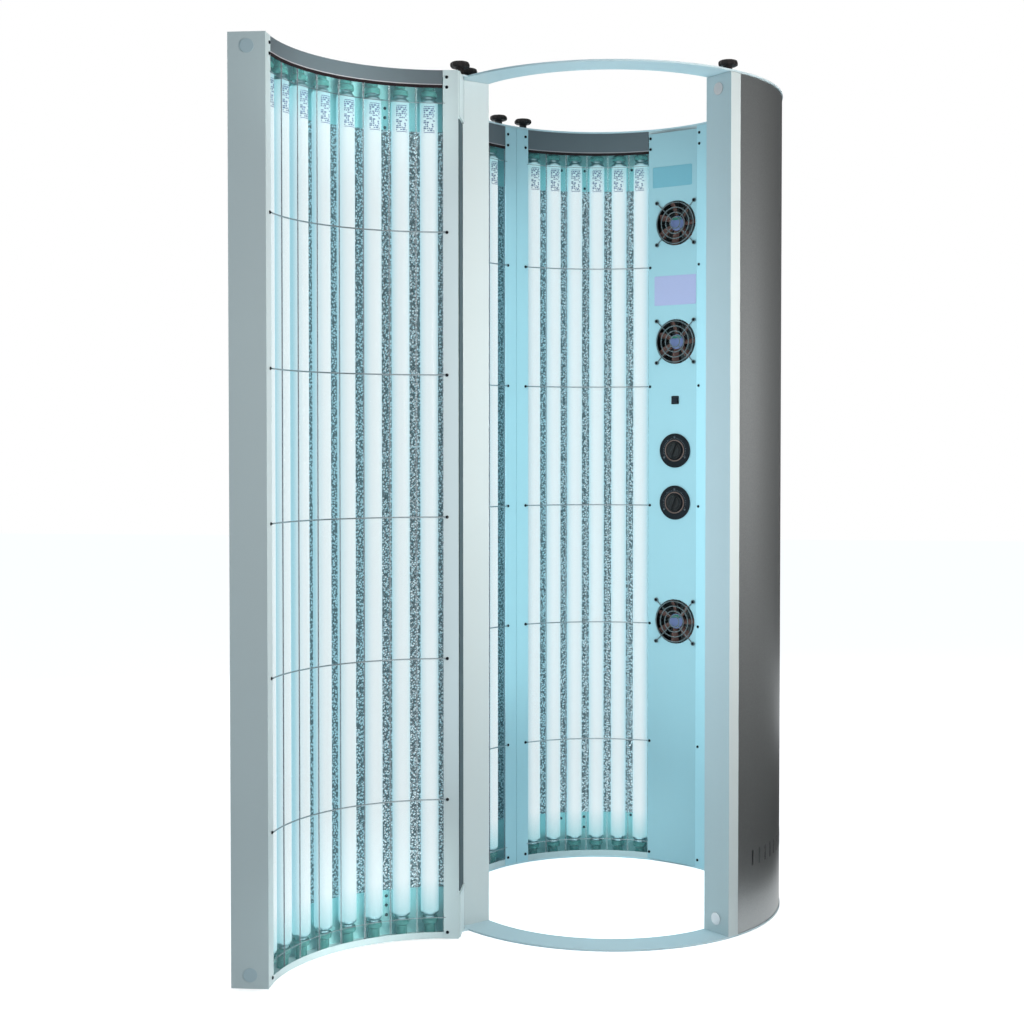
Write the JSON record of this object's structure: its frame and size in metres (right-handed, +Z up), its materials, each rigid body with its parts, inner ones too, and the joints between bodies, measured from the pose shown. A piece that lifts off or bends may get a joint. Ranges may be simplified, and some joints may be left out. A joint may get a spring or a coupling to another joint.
{
  "type": "vertical tanning booth",
  "caption": "Upright tanning booth, a cylinder of quarter modules lined with lamps behind clear shields, with a hinged door and a control panel with fans and timers.",
  "frame": {"origin": "the booth's axis at floor level, in the plane of the base ring's underside", "axes": "+Z up along the booth's axis; the doorway faces -Y and the door is hinged on the -X side of it; the rest pose has the door open"},
  "size_m": [1.0793, 1.1534, 1.8888],
  "materials": {
    "ring_paint": "satin powder coat",
    "frame_paint": "satin powder coat",
    "panel_paint": "satin powder coat",
    "skin_paint": "metallic grey powder coat",
    "header_paint": "satin powder coat",
    "reflector_metal": "stucco embossed",
    "end_sheet_metal": "plain mill",
    "lamp_glass": "phosphor coated, lit",
    "lamp_cap": "plain",
    "holder_plastic": "moulded",
    "shield_acrylic": "clear sheet",
    "wire_chrome": "polished",
    "screw_black": "black",
    "fan_plastic": "glass-filled",
    "bezel_plastic": "moulded",
    "knob_plastic": "moulded",
    "switch_plastic": "moulded",
    "button_plastic": "moulded",
    "steel": "zinc plated",
    "ballast_paint": "enamel"
  },
  "bodies": {
    "booth": {"base_ring": "ring_paint", "top_ring": "ring_paint", "left_board_front": "frame_paint", "left_board_rear": "frame_paint", "back_board_left": "frame_paint", "back_board_right": "frame_paint", "right_board_rear": "frame_paint", "right_board_front": "frame_paint", "left_closing_plates": "frame_paint", "back_closing_plates": "frame_paint", "right_closing_plates": "frame_paint", "panel_divider": "frame_paint", "control_panel": "panel_paint", "left_skin": "skin_paint", "back_skin": "skin_paint", "right_skin": "skin_paint", "left_header": "header_paint", "back_header": "header_paint", "right_header": "header_paint", "reflectors": "reflector_metal", "reflector_end_sheets": "end_sheet_metal", "booth_lamp_tubes": "lamp_glass", "booth_lamp_caps": "lamp_cap", "lampholders": "holder_plastic", "booth_shields": "shield_acrylic", "guard_wires": "wire_chrome", "fan_guards": "wire_chrome", "lip_screws": "screw_black", "panel_screws": "screw_black", "fan_frames": "fan_plastic", "timer_bezels": "bezel_plastic", "timer_clockworks": "bezel_plastic", "hand_knobs": "knob_plastic", "switch_housing": "switch_plastic", "hinge_pins": "steel", "ring_bolts": "steel", "catch_plates": "steel", "ballasts": "ballast_paint"},
    "door": {"door_board_hinge": "frame_paint", "door_board_free": "frame_paint", "door_closing_plates": "frame_paint", "door_skin": "skin_paint", "door_header": "header_paint", "door_reflector": "reflector_metal", "door_reflector_end_sheets": "end_sheet_metal", "door_lamp_tubes": "lamp_glass", "door_lamp_caps": "lamp_cap", "door_lampholders": "holder_plastic", "door_shields": "shield_acrylic", "door_guard_wires": "wire_chrome", "door_lip_screws": "screw_black", "door_magnets": "steel", "door_ballasts": "ballast_paint", "hinge_leaves": "frame_paint"},
    "rotor_top": {"fan_rotor_top": "fan_plastic"},
    "rotor_middle": {"fan_rotor_middle": "fan_plastic"},
    "rotor_low": {"fan_rotor_low": "fan_plastic"},
    "timer_upper": {"timer_knob_upper": "knob_plastic"},
    "timer_lower": {"timer_knob_lower": "knob_plastic"},
    "switch": {"switch_button": "button_plastic"}
  },
  "joints": [
    {"name": "door_swing", "type": "hinge", "parent": "booth", "child": "door", "pos_m": [-0.2909, -0.30448, 0], "axis": [0, 0, 1], "range_deg": [-33, 132]},
    {"name": "fan_spin_top", "type": "hinge", "parent": "booth", "child": "rotor_top", "pos_m": [0.16434, 0.30008, 1.619], "axis": [0.4571, 0.8894, 0], "continuous": true},
    {"name": "fan_spin_middle", "type": "hinge", "parent": "booth", "child": "rotor_middle", "pos_m": [0.16434, 0.30008, 1.322], "axis": [0.4571, 0.8894, 0], "continuous": true},
    {"name": "fan_spin_low", "type": "hinge", "parent": "booth", "child": "rotor_low", "pos_m": [0.16434, 0.30008, 0.617], "axis": [0.4571, 0.8894, 0], "continuous": true},
    {"name": "timer_turn_upper", "type": "hinge", "parent": "booth", "child": "timer_upper", "pos_m": [0.15566, 0.28318, 1.048], "axis": [0.4571, 0.8894, 0], "range_deg": [-20, 280]},
    {"name": "timer_turn_lower", "type": "hinge", "parent": "booth", "child": "timer_lower", "pos_m": [0.15566, 0.28318, 0.917], "axis": [0.4571, 0.8894, 0], "range_deg": [-20, 280]},
    {"name": "switch_press", "type": "slide", "parent": "booth", "child": "switch", "axis": [0.4571, 0.8894, 0], "range_m": [0, 0.0025], "stiffness_N_per_m": 400}
  ]
}
